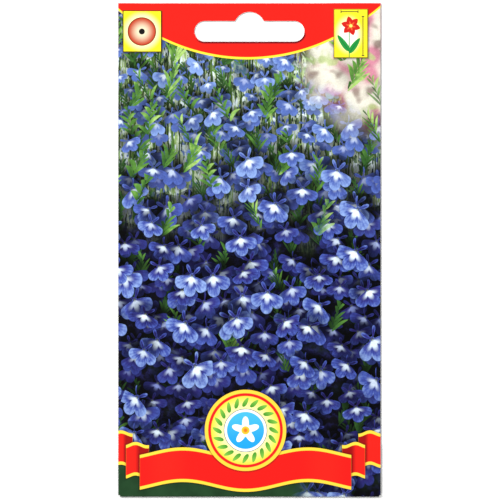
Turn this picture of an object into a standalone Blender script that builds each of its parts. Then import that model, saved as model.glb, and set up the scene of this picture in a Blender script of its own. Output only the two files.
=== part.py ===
"""Flower seed packet with a punched hang slot, lying on its back.

One sheet of printed paper is folded round two side folds and a bottom fold and is glued shut.
It holds a small inner sachet with a bed of loose fine seed.
Metres, +Z up out of the printed front, +Y towards the hang slot, origin under the middle on the surface.
"""

import math

import bmesh
import bpy

MM = 0.001

# Driving dimensions of the packet
PACKET_WIDTH = 80.0 * MM
PACKET_HEIGHT = 150.5 * MM
PAPER = 0.15 * MM
GLUE = 0.06 * MM
CLEARANCE = 0.02 * MM

# The hang slot, measured down from the top edge
SLOT_WIDTH = 33.6 * MM
SLOT_HEIGHT = 6.3 * MM
SLOT_TOP_INSET = 5.4 * MM
CROWN_RADIUS = 5.2 * MM
CROWN_RISE = 2.8 * MM

# How the sheet is folded and glued
SEAM_FLAP = 12.0 * MM
BOTTOM_FLAP = 14.0 * MM
BOTTOM_FLAP_TAPER = 0.9
CUT_SHORT = 0.5 * MM
CORNER_INSET = 0.5 * MM
INNER_GAP = 0.15 * MM
MOUTH_GLUE_TOP = 13.6 * MM
MOUTH_GLUE_BAND = 4.0 * MM
STEP_START = 0.6 * MM
STEP_END = 3.6 * MM

# How full the pocket is
PILLOW = 0.75 * MM
SEED_BULGE = 0.75 * MM
POCKET_TOP_INSET = 24.0 * MM
HEADER_FLAT_INSET = 18.5 * MM

# The inner sachet and the seed in it
FILM = 0.08 * MM
SACHET_WIDTH = 48.0 * MM
SACHET_HEIGHT = 58.0 * MM
SACHET_BASE_INSET = 19.0 * MM
SEAL = 5.0 * MM
SEED_BED_LENGTH = 25.0 * MM
SEED_BED_WIDTH = 16.0 * MM
SEED_BED_DEPTH = 0.75 * MM
SEED_BED_RISE = 15.0 * MM
SEED_PITCH = 1.25 * MM

# Worked out from the driving dimensions. The half sizes run to the middle of the paper's thickness
HALF_WIDTH = (PACKET_WIDTH - PAPER) / 2
HALF_HEIGHT = (PACKET_HEIGHT - PAPER / 2) / 2
LAYER = PAPER + GLUE + 2 * CLEARANCE
RIGHT_FOLD = (PAPER + INNER_GAP) / 2
LEFT_FOLD = RIGHT_FOLD + LAYER / 2
BACK_LEVEL = PAPER / 2
FRONT_LEVEL = BACK_LEVEL + 2 * LEFT_FOLD
BOTTOM_FOLD = (FRONT_LEVEL + LAYER - BACK_LEVEL) / 2
FLAP_EDGE = -HALF_HEIGHT + BOTTOM_FLAP
SACHET_MIDDLE = -HALF_HEIGHT + SACHET_BASE_INSET + SACHET_HEIGHT / 2
SEED_MIDDLE = -HALF_HEIGHT + SACHET_BASE_INSET + SEED_BED_RISE

# How finely each stretch is divided
BACK_STEPS = 10
FOLD_STEPS = 4
FRONT_STEPS = 18
FLAP_STEPS = 3
POCKET_STEPS = 16
HEADER_STEPS = 4
FILM_STEPS = 14


def smooth_step(low, high, value):
    """0 below low, 1 above high, and an even S between them."""
    share = min(1.0, max(0.0, (value - low) / (high - low)))
    return share * share * (3 - 2 * share)


def over_bottom_flap(y):
    """How far the layers above the bottom flap are lifted by it."""
    return LAYER * (1 - smooth_step(FLAP_EDGE + STEP_START, FLAP_EDGE + STEP_END, y))


def seed_swell(x, y):
    """1 over the middle of the seed bed, falling to 0 round it."""
    across = x / (SEED_BED_LENGTH * 0.95)
    along = (y - SEED_MIDDLE) / (SEED_BED_WIDTH * 1.1)
    return max(0.0, 1 - across * across - along * along) ** 1.5


def back_level(x, y):
    """Middle of the back panel's thickness."""
    return BACK_LEVEL + over_bottom_flap(y)


def front_level(x, y):
    """Middle of the front panel's thickness."""
    edge = FRONT_LEVEL + over_bottom_flap(y)
    closed = smooth_step(HALF_HEIGHT - POCKET_TOP_INSET, HALF_HEIGHT - HEADER_FLAT_INSET, y)
    over_seam = smooth_step(HALF_WIDTH - SEAM_FLAP - 7 * MM, HALF_WIDTH - SEAM_FLAP - 1 * MM, x)
    over_left = smooth_step(HALF_WIDTH - 8 * MM, HALF_WIDTH - 1 * MM, -x)
    pressed = BACK_LEVEL + LAYER + over_bottom_flap(y)
    shut = pressed + (edge - pressed) * max(over_seam, over_left)
    across = 1 - (x / HALF_WIDTH) ** 2
    foot = smooth_step(-HALF_HEIGHT, -HALF_HEIGHT + 16 * MM, y)
    open_pocket = edge + foot * (PILLOW * across + SEED_BULGE * seed_swell(x, y))
    return open_pocket + (shut - open_pocket) * closed


def stretch(start, end, steps):
    """Evenly spaced values from start to end, both included."""
    return [start + (end - start) * k / steps for k in range(steps + 1)]


def fold_angles():
    return [math.pi * k / FOLD_STEPS for k in range(1, FOLD_STEPS)]


def sheet_heights():
    """The stations up the panels, closest together where the back panel steps over the bottom flap."""
    step_low, step_high = FLAP_EDGE + STEP_START, FLAP_EDGE + STEP_END
    pocket_top, header_foot = HALF_HEIGHT - POCKET_TOP_INSET, HALF_HEIGHT - HEADER_FLAT_INSET
    heights = stretch(-HALF_HEIGHT + CUT_SHORT, step_low, HEADER_STEPS)
    heights += stretch(step_low, step_high, FLAP_STEPS)[1:]
    heights += stretch(step_high, pocket_top, POCKET_STEPS)[1:]
    heights += stretch(pocket_top, header_foot, FLAP_STEPS)[1:]
    heights += stretch(header_foot, HALF_HEIGHT, HEADER_STEPS)[1:]
    return heights


def sheet_columns():
    """The stations across the sheet, from the back panel's cut edge round to the seam flap's."""
    left = HALF_WIDTH - LEFT_FOLD
    right = HALF_WIDTH - RIGHT_FOLD
    columns = [("back", x) for x in stretch(HALF_WIDTH - CUT_SHORT / 2, -left, BACK_STEPS)]
    columns += [("left_fold", angle) for angle in fold_angles()]
    inner = stretch(-left + CORNER_INSET, right - CORNER_INSET, FRONT_STEPS)
    columns += [("front", x) for x in [-left, *inner, right]]
    columns += [("right_fold", angle) for angle in fold_angles()]
    columns += [("seam", x) for x in stretch(right, HALF_WIDTH - SEAM_FLAP, FLAP_STEPS)]
    return columns


def sheet_point(column, y):
    """Where the middle of the sheet's thickness lies at this column and height."""
    stretch_name, place = column
    if stretch_name == "back":
        return place, y, back_level(place, y)
    if stretch_name == "front":
        return place, y, front_level(place, y)
    if stretch_name == "seam":
        return place, y, back_level(place, y) + LAYER
    if stretch_name == "left_fold":
        low = back_level(-HALF_WIDTH, y)
        radius, edge, side = LEFT_FOLD, LEFT_FOLD - HALF_WIDTH, -1
        rise = 1 - math.cos(place)
    else:
        low = back_level(HALF_WIDTH, y) + LAYER
        radius, edge, side = RIGHT_FOLD, HALF_WIDTH - RIGHT_FOLD, 1
        rise = 1 + math.cos(place)
    return edge + side * radius * math.sin(place), y, low + radius * rise


def bottom_path():
    """Round the bottom fold and up its flap: height, level and the share of the width left by the taper."""
    fold_line = -HALF_HEIGHT + BOTTOM_FOLD
    path = [(fold_line, front_level(0, fold_line), 1.0)]
    for angle in fold_angles():
        y = fold_line - BOTTOM_FOLD * math.sin(angle)
        path.append((y, BACK_LEVEL + BOTTOM_FOLD * (1 + math.cos(angle)), 1.0))
    for k, y in enumerate(stretch(fold_line, FLAP_EDGE, FLAP_STEPS)):
        path.append((y, BACK_LEVEL, 1 - (1 - BOTTOM_FLAP_TAPER) * k / FLAP_STEPS))
    return path


def folded_sheet():
    """The packet's one sheet: panels and side folds, then the bottom fold and its flap."""
    mesh = bmesh.new()
    columns = sheet_columns()
    heights = sheet_heights()
    rows = [[mesh.verts.new(sheet_point(column, y)) for column in columns] for y in heights]
    for low, high in zip(rows, rows[1:]):
        for i in range(len(columns) - 1):
            mesh.faces.new((low[i], low[i + 1], high[i + 1], high[i]))

    front = [i for i, column in enumerate(columns) if column[0] == "front"][1:-1]
    previous = [rows[0][i] for i in front]
    for y, z, width_share in bottom_path():
        current = [mesh.verts.new((columns[i][1] * width_share, y, z)) for i in front]
        for i in range(len(front) - 1):
            mesh.faces.new((current[i], current[i + 1], previous[i + 1], previous[i]))
        previous = current

    sheet = new_object("packet_sheet", mesh)
    thicken(sheet, PAPER)
    punch(sheet, slot_cutter())
    return sheet


def slot_outline():
    """The hang slot: a bar with round ends and a low round crown on its upper side."""
    end = SLOT_HEIGHT / 2
    middle = HALF_HEIGHT - SLOT_TOP_INSET - end
    reach = SLOT_WIDTH / 2 - end
    half_chord = math.sqrt(CROWN_RADIUS**2 - (CROWN_RADIUS - CROWN_RISE) ** 2)
    crown_middle = middle + end + CROWN_RISE - CROWN_RADIUS
    open_angle = math.asin(half_chord / CROWN_RADIUS)
    right = [math.pi * (k / 10 - 0.5) for k in range(11)]
    crown = [open_angle * (1 - k / 5) for k in range(11)]
    left = [math.pi * (k / 10 + 0.5) for k in range(11)]
    points = [(reach + end * math.cos(a), middle + end * math.sin(a)) for a in right]
    points += [(CROWN_RADIUS * math.sin(a), crown_middle + CROWN_RADIUS * math.cos(a)) for a in crown]
    points += [(-reach + end * math.cos(a), middle + end * math.sin(a)) for a in left]
    return points


def slot_cutter():
    mesh = bmesh.new()
    base = mesh.faces.new([mesh.verts.new((x, y, -5 * MM)) for x, y in slot_outline()])
    lifted = bmesh.ops.extrude_face_region(mesh, geom=[base])
    bmesh.ops.translate(
        mesh,
        vec=(0, 0, 10 * MM),
        verts=[v for v in lifted["geom"] if isinstance(v, bmesh.types.BMVert)],
    )
    bmesh.ops.recalc_face_normals(mesh, faces=mesh.faces)
    cutter = new_object("slot_cutter", mesh)
    cutter.hide_render = True
    cutter.display_type = "WIRE"
    return cutter


def grid_sheet(name, x_values, y_values, level, thickness):
    """A thin leaf over a grid, its middle at level(x, y)."""
    mesh = bmesh.new()
    rows = [[mesh.verts.new((x, y, level(x, y))) for x in x_values] for y in y_values]
    for low, high in zip(rows, rows[1:]):
        for i in range(len(x_values) - 1):
            mesh.faces.new((low[i], low[i + 1], high[i + 1], high[i]))
    leaf = new_object(name, mesh)
    thicken(leaf, thickness)
    return leaf


def seam_glue():
    """The strip that holds the seam flap to the back panel, clear of the hang slot."""
    x_values = stretch(HALF_WIDTH - SEAM_FLAP + 2 * MM, HALF_WIDTH - 2 * MM, 2)
    y_values = sheet_heights()[1:-1]
    return grid_sheet("seam_glue", x_values, y_values, lambda x, y: back_level(x, y) + LAYER / 2, GLUE)


def bottom_glue():
    """The strip that holds the bottom flap up against the back panel."""
    x_values = stretch(-HALF_WIDTH + 7 * MM, HALF_WIDTH - 7 * MM, 2)
    y_values = stretch(FLAP_EDGE - 6 * MM, FLAP_EDGE - 2 * MM, 2)
    return grid_sheet("bottom_flap_glue", x_values, y_values, lambda x, y: BACK_LEVEL + LAYER / 2, GLUE)


def mouth_glue():
    """The strip that shuts the mouth under the hang slot."""
    x_values = stretch(-HALF_WIDTH + 9 * MM, HALF_WIDTH - SEAM_FLAP - 8 * MM, 4)
    y_low = HALF_HEIGHT - MOUTH_GLUE_TOP - MOUTH_GLUE_BAND
    y_values = stretch(y_low, HALF_HEIGHT - MOUTH_GLUE_TOP, 2)
    return grid_sheet("mouth_glue", x_values, y_values, lambda x, y: BACK_LEVEL + LAYER / 2, GLUE)


def sachet_back_level(x, y):
    return PAPER + over_bottom_flap(y) + CLEARANCE + FILM / 2


def seed_depth(x, y):
    """Depth of the seed bed: a low round-edged heap."""
    across = x / (SEED_BED_LENGTH / 2)
    along = (y - SEED_MIDDLE) / (SEED_BED_WIDTH / 2)
    return SEED_BED_DEPTH * max(0.0, 1 - across * across - along * along) ** 0.5


def sachet_front_level(x, y):
    """The front leaf lies on the back leaf at the seals and is lifted over the seed."""
    seal_gap = FILM + 2 * CLEARANCE
    inset_x = SACHET_WIDTH / 2 - abs(x)
    inset_y = SACHET_HEIGHT / 2 - abs(y - SACHET_MIDDLE)
    inside = smooth_step(SEAL * 0.6, SEAL * 2.2, inset_x) * smooth_step(SEAL * 0.6, SEAL * 2.2, inset_y)
    across = x / (SEED_BED_LENGTH * 0.8)
    along = (y - SEED_MIDDLE) / (SEED_BED_WIDTH * 0.95)
    over_seed = max(0.0, 1 - across * across - along * along) ** 0.6
    lift = inside * (0.15 * MM + (SEED_BED_DEPTH + 0.08 * MM) * over_seed)
    return sachet_back_level(x, y) + seal_gap + lift


def sachet_leaf(name, level):
    x_values = stretch(-SACHET_WIDTH / 2, SACHET_WIDTH / 2, FILM_STEPS)
    y_values = stretch(SACHET_MIDDLE - SACHET_HEIGHT / 2, SACHET_MIDDLE + SACHET_HEIGHT / 2, FILM_STEPS)
    return grid_sheet(name, x_values, y_values, level, FILM)


def seed_bed():
    """The loose seed as one heap, its grains raised from the surface by a formula."""
    rings, spokes = 12, 48
    floor = PAPER + CLEARANCE + FILM + CLEARANCE
    mesh = bmesh.new()
    centre = mesh.verts.new((0, SEED_MIDDLE, floor + SEED_BED_DEPTH))
    loops = []
    for ring in range(1, rings + 1):
        reach = ring / rings
        loop = []
        for spoke in range(spokes):
            turn = 2 * math.pi * spoke / spokes
            x = SEED_BED_LENGTH / 2 * reach * math.cos(turn)
            y = SEED_MIDDLE + SEED_BED_WIDTH / 2 * reach * math.sin(turn)
            grain = math.cos(math.tau * x / SEED_PITCH) * math.cos(math.tau * y / SEED_PITCH)
            depth = seed_depth(x, y) * (0.86 + 0.12 * grain)
            loop.append(mesh.verts.new((x, y, floor + max(depth, 0.03 * MM))))
        loops.append(loop)
    for k in range(spokes):
        mesh.faces.new((centre, loops[0][k], loops[0][(k + 1) % spokes]))
    for inner, outer in zip(loops, loops[1:]):
        for k in range(spokes):
            after = (k + 1) % spokes
            mesh.faces.new((inner[k], outer[k], outer[after], inner[after]))
    rim = [mesh.verts.new((v.co.x, v.co.y, floor)) for v in loops[-1]]
    for k in range(spokes):
        after = (k + 1) % spokes
        mesh.faces.new((loops[-1][k], rim[k], rim[after], loops[-1][after]))
    mesh.faces.new(list(reversed(rim)))
    bmesh.ops.recalc_face_normals(mesh, faces=mesh.faces)
    return new_object("seed_bed", mesh)


def new_object(name, mesh):
    data = bpy.data.meshes.new(name)
    mesh.to_mesh(data)
    mesh.free()
    made = bpy.data.objects.new(name, data)
    bpy.context.scene.collection.objects.link(made)
    return made


def thicken(leaf, thickness):
    """Gives a leaf its wall, half to each side."""
    wall = leaf.modifiers.new("wall", "SOLIDIFY")
    wall.thickness = thickness
    wall.offset = 0
    wall.use_even_offset = True


def punch(sheet, cutter):
    """Cuts the hang slot through both panels."""
    cut = sheet.modifiers.new("hang slot", "BOOLEAN")
    cut.operation = "DIFFERENCE"
    cut.solver = "EXACT"
    cut.object = cutter


def finish(leaf, name, colour, roughness):
    """Gives a piece its own plain material."""
    material = bpy.data.materials.new(name)
    material.use_nodes = True
    shader = material.node_tree.nodes["Principled BSDF"]
    shader.inputs["Base Color"].default_value = (*colour, 1)
    shader.inputs["Roughness"].default_value = roughness
    leaf.data.materials.append(material)
    return leaf


def clear_scene():
    for old in list(bpy.data.objects):
        bpy.data.objects.remove(old)


def main():
    clear_scene()
    white = (0.85, 0.85, 0.82)
    amber = (0.75, 0.66, 0.42)
    film = (0.72, 0.74, 0.75)
    brown = (0.16, 0.09, 0.04)
    finish(folded_sheet(), "printed_paper", (0.13, 0.16, 0.48), 0.35)
    finish(seam_glue(), "seam_glue", amber, 0.5)
    finish(bottom_glue(), "bottom_flap_glue", amber, 0.5)
    finish(mouth_glue(), "mouth_glue", amber, 0.5)
    finish(sachet_leaf("sachet_back", sachet_back_level), "sachet_back", white, 0.4)
    finish(sachet_leaf("sachet_front", sachet_front_level), "sachet_front", film, 0.3)
    finish(seed_bed(), "seed", brown, 0.8)


main()
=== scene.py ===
# %% [markdown]
# # A paper seed packet
# A printed packet of flower seed, lying on its back. The frame brings in the measured solids.
# This script gives them their looks: a finer folded sheet with its print, the little sachet
# inside it and the dust-fine seed, then a floor, lights and a camera.

import math

import bpy
import numpy as np
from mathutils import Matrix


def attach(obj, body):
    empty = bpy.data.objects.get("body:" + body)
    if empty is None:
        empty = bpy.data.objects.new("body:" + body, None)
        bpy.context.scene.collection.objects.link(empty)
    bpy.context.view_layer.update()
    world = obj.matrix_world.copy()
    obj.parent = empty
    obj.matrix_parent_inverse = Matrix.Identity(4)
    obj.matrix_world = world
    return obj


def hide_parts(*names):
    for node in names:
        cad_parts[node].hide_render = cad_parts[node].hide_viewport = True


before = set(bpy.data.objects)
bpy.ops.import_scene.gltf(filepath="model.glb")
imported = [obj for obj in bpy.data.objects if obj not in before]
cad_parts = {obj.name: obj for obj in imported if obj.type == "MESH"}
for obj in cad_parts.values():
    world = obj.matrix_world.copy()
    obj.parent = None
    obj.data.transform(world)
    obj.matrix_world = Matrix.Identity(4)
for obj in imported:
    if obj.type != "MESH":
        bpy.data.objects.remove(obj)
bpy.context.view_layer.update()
MM = 0.001

# %% [markdown]
# ## A way to write shader maths
# A print this rich takes hundreds of Math nodes. Wiring them by hand hides the idea, so one small
# class wraps a socket. Python's own operators on it add the Math nodes, and numbers alone are
# worked out before they reach the tree.


# %% One class for shader maths
class Ink:
    """A socket in a material's node tree. Arithmetic on it adds Math nodes."""

    def __init__(self, socket):
        self.socket = socket

    def node(self, kind, settings=None, sockets=None, out=0):
        return add_node(self.socket.id_data, kind, settings, sockets, out)

    def math(self, operation, *values):
        settings = {"operation": operation}
        return self.node("ShaderNodeMath", settings, dict(enumerate(values)))

    def __add__(self, other):
        return self.math("ADD", self, other)

    def __sub__(self, other):
        return self.math("SUBTRACT", self, other)

    def __rsub__(self, other):
        return self.math("SUBTRACT", other, self)

    def __mul__(self, other):
        return self.math("MULTIPLY", self, other)

    def __truediv__(self, other):
        return self.math("DIVIDE", self, other)

    def __rtruediv__(self, other):
        return self.math("DIVIDE", other, self)

    def __neg__(self):
        return self * -1.0

    def __abs__(self):
        return self.math("ABSOLUTE", self)

    __radd__ = __add__
    __rmul__ = __mul__


def add_node(tree, kind, settings=None, sockets=None, out=0):
    """Adds any node: its settings first, then the values or links of its sockets."""
    node = tree.nodes.new(kind)
    for name, value in (settings or {}).items():
        if name == "stops":
            ramp = node.color_ramp
            while len(ramp.elements) < len(value):
                ramp.elements.new(1.0)
            for element, (place, colour) in zip(ramp.elements, value):
                element.position = place
                element.color = (*colour, 1.0)
        else:
            setattr(node, name, value)
    for name, value in (sockets or {}).items():
        if isinstance(value, Ink):
            tree.links.new(value.socket, node.inputs[name])
        else:
            node.inputs[name].default_value = value
    return Ink(node.outputs[out])


# %% [markdown]
# ## Small tools for drawing with numbers
# A print is a stack of shapes. Each shape is a mask from 0 to 1: the distance inside its edge,
# made steep. These few helpers turn distances into masks and lay one colour over another.


# %% Masks and colours
def linear(red, green, blue, lift=1.0):
    """Screen values from 0 to 255 as the linear colour that a shader wants."""
    shares = [value / 255 for value in (red, green, blue)]
    return tuple(lift * (s / 12.92 if s <= 0.04045 else ((s + 0.055) / 1.055) ** 2.4) for s in shares)


def clamp(value):
    return value.node("ShaderNodeClamp", None, {0: value})


def inside(depth, soft=0.12):
    """1 where depth is positive, with an edge that is soft over that many millimetres."""
    return clamp(depth / soft + 0.5)


def ramp_up(value, low, high):
    """0 below low and 1 above high, with an even S between them."""
    sockets = {"Value": value, "From Min": low, "From Max": high}
    return value.node("ShaderNodeMapRange", {"interpolation_type": "SMOOTHSTEP"}, sockets)


def larger(first, second):
    return first.math("MAXIMUM", first, second)


def smaller(first, second):
    return first.math("MINIMUM", first, second)


def alone(operation, value):
    return value.math(operation, value)


def root(value):
    return alone("SQRT", larger(value, 0.0))


def polar(x, y):
    """Distance from the middle, and the angle from straight right."""
    return root(x * x + y * y), x.math("ARCTAN2", y, x)


def lay_over(mask, below, above):
    """above where mask is 1, below where it is 0. Either may be a colour or a link."""
    sockets = {"Factor": mask, 6: as_colour(below), 7: as_colour(above)}
    return mask.node("ShaderNodeMix", {"data_type": "RGBA"}, sockets, 2)


def as_colour(value):
    return value if isinstance(value, Ink) else (*value[:3], 1.0)


def darken(colour, share):
    """The colour multiplied by a number that varies over the surface."""
    grey = share.node("ShaderNodeCombineColor", None, {0: share, 1: share, 2: share})
    sockets = {"Factor": 1.0, 6: as_colour(colour), 7: grey}
    return share.node("ShaderNodeMix", {"data_type": "RGBA", "blend_type": "MULTIPLY"}, sockets, 2)


def noise(place, scale, detail=2.0, roughness=0.5):
    settings = {"noise_dimensions": "3D"}
    sockets = {"Vector": place, "Scale": scale, "Detail": detail, "Roughness": roughness}
    return place.node("ShaderNodeTexNoise", settings, sockets)


def split(vector):
    """The x and y of a vector."""
    made = vector.node("ShaderNodeSeparateXYZ", None, {0: vector})
    return made, Ink(made.socket.node.outputs[1])


def new_paint(name):
    """An empty material with its shader, and the place on the piece in millimetres."""
    paint = bpy.data.materials.new(name)
    paint.use_nodes = True
    tree = paint.node_tree
    shader = tree.nodes["Principled BSDF"]
    metres = add_node(tree, "ShaderNodeTexCoord", out=3)
    scaling = {0: metres, "Scale": 1 / MM}
    place = add_node(tree, "ShaderNodeVectorMath", {"operation": "SCALE"}, scaling)
    return paint, shader, place


def plug(value, shader, name):
    value.socket.id_data.links.new(value.socket, shader.inputs[name])


def plug_surface(shader, colour, roughness, relief):
    """Links the three things that vary over a surface."""
    plug(colour, shader, "Base Color")
    plug(roughness, shader, "Roughness")
    plug(relief, shader, "Normal")


def bump(height, strength, distance):
    """Relief for the Normal socket, from a height that runs from 0 to 1."""
    sockets = {"Height": height, "Strength": strength, "Distance": distance}
    return height.node("ShaderNodeBump", None, sockets)


# %% [markdown]
# ## The folded sheet: its measures
# The real packet is one printed blank. It is scored, folded round two sides and the bottom, and
# glued. The same measures as in the solids drive the finer sheet here, so that both agree.

# %% Measures of the sheet
PAPER = 0.15 * MM
LAYER = 0.25 * MM
HALF_WIDTH = 39.925 * MM
HALF_HEIGHT = 75.2125 * MM
RIGHT_FOLD = 0.15 * MM
LEFT_FOLD = 0.275 * MM
BACK_LEVEL = 0.075 * MM
FRONT_LEVEL = BACK_LEVEL + 2 * LEFT_FOLD
BOTTOM_FOLD = 0.4 * MM
SEAM_FLAP = 12 * MM
BOTTOM_FLAP = 14 * MM
CUT_SHORT = 0.5 * MM
CORNER_INSET = 0.25 * MM
FLAP_EDGE = -HALF_HEIGHT + BOTTOM_FLAP
FLAP_STEP = 4 * MM
FLAP_TAPER = 0.1
SEED_MIDDLE = -HALF_HEIGHT + 34 * MM
SHUT_BELOW = HALF_HEIGHT - 24 * MM
SHUT_ABOVE = HALF_HEIGHT - 18.5 * MM
PILLOW_RISE = 0.75 * MM
SWELL_RISE = 0.75 * MM
SWELL_HALF = (23.75 * MM, 17.6 * MM)
FOOT_RUN = 16 * MM
FRONT_LEFT = HALF_WIDTH - LEFT_FOLD
FRONT_RIGHT = HALF_WIDTH - RIGHT_FOLD
FOLD_LINE = -HALF_HEIGHT + BOTTOM_FOLD


def s_curve(low, high, value):
    share = np.clip((value - low) / (high - low), 0, 1)
    return share * share * (3 - 2 * share)


def over_flap(y):
    """How far the layers above the bottom flap are lifted by it."""
    return LAYER * (1 - s_curve(FLAP_EDGE + 0.6 * MM, FLAP_EDGE + 3.6 * MM, y))


def back_level(y):
    return BACK_LEVEL + over_flap(y)


def front_level(x, y):
    """Middle of the front panel: shut at the header, a low pillow over the pocket."""
    edge = FRONT_LEVEL + over_flap(y)
    shut_share = s_curve(SHUT_BELOW, SHUT_ABOVE, y)
    over_seam = s_curve(HALF_WIDTH - SEAM_FLAP - 7 * MM, HALF_WIDTH - SEAM_FLAP - MM, x)
    over_left = s_curve(HALF_WIDTH - 8 * MM, HALF_WIDTH - MM, -x)
    pressed = BACK_LEVEL + LAYER + over_flap(y)
    shut = pressed + (edge - pressed) * np.maximum(over_seam, over_left)
    across = x / SWELL_HALF[0]
    along = (y - SEED_MIDDLE) / SWELL_HALF[1]
    swell = np.clip(1 - across**2 - along**2, 0, 1) ** 1.5
    foot = s_curve(-HALF_HEIGHT, -HALF_HEIGHT + FOOT_RUN, y)
    pillow = PILLOW_RISE * (1 - (x / HALF_WIDTH) ** 2) + SWELL_RISE * swell
    full = edge + foot * pillow
    return full + (shut - full) * shut_share


print(f"front panel rises from {FRONT_LEVEL / MM:.2f} to {front_level(0, SEED_MIDDLE) / MM:.2f} mm")

# %% [markdown]
# ## The folded sheet: where it is scored
# The blank is drawn flat, as the printer sees it: s runs across it and t up it. Each list holds
# the grid lines, dense at a fold and wide on a panel.

# %% Grid lines of the blank
FOLD_STEPS = 8


def spread(start, end, steps):
    return list(np.linspace(start, end, steps + 1))


def blank_columns():
    arc_left = math.pi * LEFT_FOLD
    arc_right = math.pi * RIGHT_FOLD
    past_left = -FRONT_LEFT - arc_left
    back = spread(past_left - FRONT_LEFT - HALF_WIDTH + CUT_SHORT / 2, past_left, 50)
    left = spread(past_left, -FRONT_LEFT, FOLD_STEPS)[1:]
    front = [*spread(-FRONT_LEFT + CORNER_INSET, FRONT_RIGHT - CORNER_INSET, 56), FRONT_RIGHT]
    past_right = FRONT_RIGHT + arc_right
    right = spread(FRONT_RIGHT, past_right, FOLD_STEPS)[1:]
    seam = spread(past_right, past_right + SEAM_FLAP - RIGHT_FOLD, 8)[1:]
    return np.array(back + left + front + right + seam)


def blank_rows():
    arc = math.pi * BOTTOM_FOLD
    flap = spread(FOLD_LINE - arc - BOTTOM_FLAP + BOTTOM_FOLD, FOLD_LINE - arc, 8)
    fold = spread(FOLD_LINE - arc, FOLD_LINE, FOLD_STEPS)[1:]
    panel = spread(-HALF_HEIGHT + CUT_SHORT, FLAP_EDGE, 9)
    step = spread(FLAP_EDGE, FLAP_EDGE + FLAP_STEP, 8)[1:]
    pocket = spread(FLAP_EDGE + FLAP_STEP, HALF_HEIGHT, 92)[1:]
    return np.array(flap + fold + panel + step + pocket)


columns, rows = blank_columns(), blank_rows()
print(f"blank {np.ptp(columns) / MM:.1f} x {np.ptp(rows) / MM:.1f} mm")
print(f"{len(columns)} x {len(rows)} grid lines")

# %% [markdown]
# ## The folded sheet: cut and fold
# Bending a mesh round three folds by hand drifts out of true. A formula can't: it takes a point
# of the blank and says where folding puts it. The blank is a grid, its corners are cut away below
# the side panels, and its flat lines are kept in a UV map before the fold.


# %% Fold the blank
def past_fold(past, radius):
    """How far a point past a fold line has turned, and its run beyond the fold."""
    return np.clip(past / radius, 0, math.pi), np.maximum(past - math.pi * radius, 0)


def fold_across(s, y):
    """Where a point s of the blank goes when the two side folds are made."""
    x = s.copy()
    z = front_level(s, y)
    left = s < -FRONT_LEFT
    angle, run = past_fold(-FRONT_LEFT - s, LEFT_FOLD)
    x[left] = (-FRONT_LEFT - LEFT_FOLD * np.sin(angle) + run)[left]
    z[left] = (back_level(y) + LEFT_FOLD * (1 + np.cos(angle)))[left]
    right = s > FRONT_RIGHT
    angle, run = past_fold(s - FRONT_RIGHT, RIGHT_FOLD)
    x[right] = (FRONT_RIGHT + RIGHT_FOLD * np.sin(angle) - run)[right]
    z[right] = (back_level(y) + LAYER + RIGHT_FOLD * (1 + np.cos(angle)))[right]
    return x, z


def fold_under(s, t):
    """Where a point of the bottom flap goes when it is folded up behind the packet."""
    angle, run = past_fold(FOLD_LINE - t, BOTTOM_FOLD)
    y = FOLD_LINE - BOTTOM_FOLD * np.sin(angle) + run
    return s * (1 - FLAP_TAPER * run / BOTTOM_FLAP), y, BACK_LEVEL + BOTTOM_FOLD * (1 + np.cos(angle))


def only(obj):
    """Makes obj the one selected and active object."""
    bpy.ops.object.select_all(action="DESELECT")
    obj.select_set(True)
    bpy.context.view_layer.objects.active = obj


def add_shape(add, **settings):
    """Adds a primitive with nothing else selected, and returns its object."""
    bpy.ops.object.select_all(action="DESELECT")
    add(**settings)
    return bpy.context.object


def coordinates(obj):
    found = np.empty(len(obj.data.vertices) * 3)
    obj.data.vertices.foreach_get("co", found)
    return found.reshape(-1, 3)


def place_points(obj, points):
    obj.data.vertices.foreach_set("co", np.ascontiguousarray(points, dtype=float).ravel())
    obj.data.update()


squares = [len(columns) - 1, len(rows) - 1]
grid = {"x_subdivisions": squares[0], "y_subdivisions": squares[1], "size": 2}
sheet = add_shape(bpy.ops.mesh.primitive_grid_add, **grid)
sheet.name = "packet_paper"
points = coordinates(sheet)
steps = np.rint((points[:, :2] + 1) / 2 * squares).astype(int)
s, t = columns[steps[:, 0]], rows[steps[:, 1]]
place_points(sheet, np.column_stack([s, t, 0 * s]))

bpy.ops.object.mode_set(mode="EDIT")
bpy.ops.mesh.select_all(action="DESELECT")
bpy.ops.object.mode_set(mode="OBJECT")
for face in sheet.data.polygons:
    under_sides = not -FRONT_LEFT + CORNER_INSET < face.center.x < FRONT_RIGHT - CORNER_INSET
    face.select = under_sides and face.center.y < -HALF_HEIGHT + CUT_SHORT
bpy.ops.object.mode_set(mode="EDIT")
bpy.ops.mesh.delete(type="FACE")
bpy.ops.object.mode_set(mode="OBJECT")
points = coordinates(sheet)
s, t = points[:, 0].copy(), points[:, 1].copy()
print(f"{len(sheet.data.polygons)} faces in the flat blank")

# %% Bend it and keep the flat lines
flat_map = sheet.data.uv_layers[0]
flat_map.name = "flat"
corner_points = np.empty(len(sheet.data.loops), dtype=int)
sheet.data.loops.foreach_get("vertex_index", corner_points)
flat = np.column_stack([s, t])[corner_points] / (100 * MM)
flat_map.data.foreach_set("uv", flat.ravel())

x, z = fold_across(s, t)
under = t < FOLD_LINE
x_under, y_under, z_under = fold_under(s, t)
x[under], z[under] = x_under[under], z_under[under]
y = np.where(under, y_under, t)
place_points(sheet, np.column_stack([x, y, z]))
print(f"folded to {np.ptp(x) / MM:.1f} x {np.ptp(y) / MM:.1f} x {np.ptp(z) / MM:.2f} mm")

# %% [markdown]
# ## The folded sheet: its wall and the punched slot
# Solidify gives the paper its thickness, and marks the printed face, the bare face and the cut
# edge as three material slots. The hang slot is punched last, through front and back at once, as
# the factory does it: a bar with round ends, and a low round crown on its upper side. The crown
# is a little narrower than in the solids, as the photo shows it.

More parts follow.
